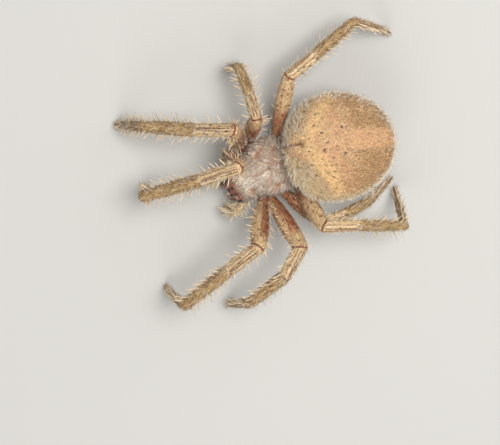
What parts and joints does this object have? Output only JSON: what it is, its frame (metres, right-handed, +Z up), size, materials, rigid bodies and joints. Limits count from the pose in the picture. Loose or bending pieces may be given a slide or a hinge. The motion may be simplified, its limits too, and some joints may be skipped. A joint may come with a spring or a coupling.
{
  "type": "orb weaver spider",
  "caption": "Life-size still model of an orb weaver spider, crouched with raised knees, with a round golden abdomen and spiny banded legs.",
  "frame": {"origin": "on the floor, under the middle of the spider's box", "axes": "+Z up, head towards -Y, the spider's left towards +X"},
  "size_m": [0.0244, 0.0306, 0.0124],
  "materials": {
    "carapace": "matt cuticle under silvery hair",
    "abdomen_skin": "soft matt skin under short golden hair",
    "jaw": "glossy red-brown cuticle",
    "fang": "glossy near-black cuticle",
    "eye": "polished black",
    "palp_skin": "matt cuticle with pale bristles",
    "limb_root": "satin red-brown cuticle",
    "femur_skin": "satin red-brown cuticle with tan sides and dark specks",
    "patella_skin": "satin tan cuticle with dark lengthwise lines",
    "tibia_skin": "satin olive-tan cuticle with dark specks",
    "foot_skin": "satin pinkish-tan cuticle, darker at the tip"
  },
  "bodies": {
    "root": {"cephalothorax": "carapace", "pedicel": "carapace", "abdomen": "abdomen_skin", "spinnerets": "limb_root", "chelicera_L": "jaw", "chelicera_R": "jaw", "fang_L": "fang", "fang_R": "fang", "palp_base_L": "palp_skin", "palp_base_R": "palp_skin", "palp_tip_L": "palp_skin", "palp_tip_R": "palp_skin", "eye_front_middle_L": "eye", "eye_front_middle_R": "eye", "eye_back_middle_L": "eye", "eye_back_middle_R": "eye", "eye_side_L": "eye", "eye_side_R": "eye", "coxa_L1": "limb_root", "coxa_L2": "limb_root", "coxa_L3": "limb_root", "coxa_L4": "limb_root", "coxa_R1": "limb_root", "coxa_R2": "limb_root", "coxa_R3": "limb_root", "coxa_R4": "limb_root", "femur_L1": "femur_skin", "femur_L2": "femur_skin", "femur_L3": "femur_skin", "femur_L4": "femur_skin", "femur_R1": "femur_skin", "femur_R2": "femur_skin", "femur_R3": "femur_skin", "femur_R4": "femur_skin", "patella_L1": "patella_skin", "patella_L2": "patella_skin", "patella_L3": "patella_skin", "patella_L4": "patella_skin", "patella_R1": "patella_skin", "patella_R2": "patella_skin", "patella_R3": "patella_skin", "patella_R4": "patella_skin", "tibia_L1": "tibia_skin", "tibia_L2": "tibia_skin", "tibia_L3": "tibia_skin", "tibia_L4": "tibia_skin", "tibia_R1": "tibia_skin", "tibia_R2": "tibia_skin", "tibia_R3": "tibia_skin", "tibia_R4": "tibia_skin", "foot_L1": "foot_skin", "foot_L2": "foot_skin", "foot_L3": "foot_skin", "foot_L4": "foot_skin", "foot_R1": "foot_skin", "foot_R2": "foot_skin", "foot_R3": "foot_skin", "foot_R4": "foot_skin"}
  },
  "joints": []
}
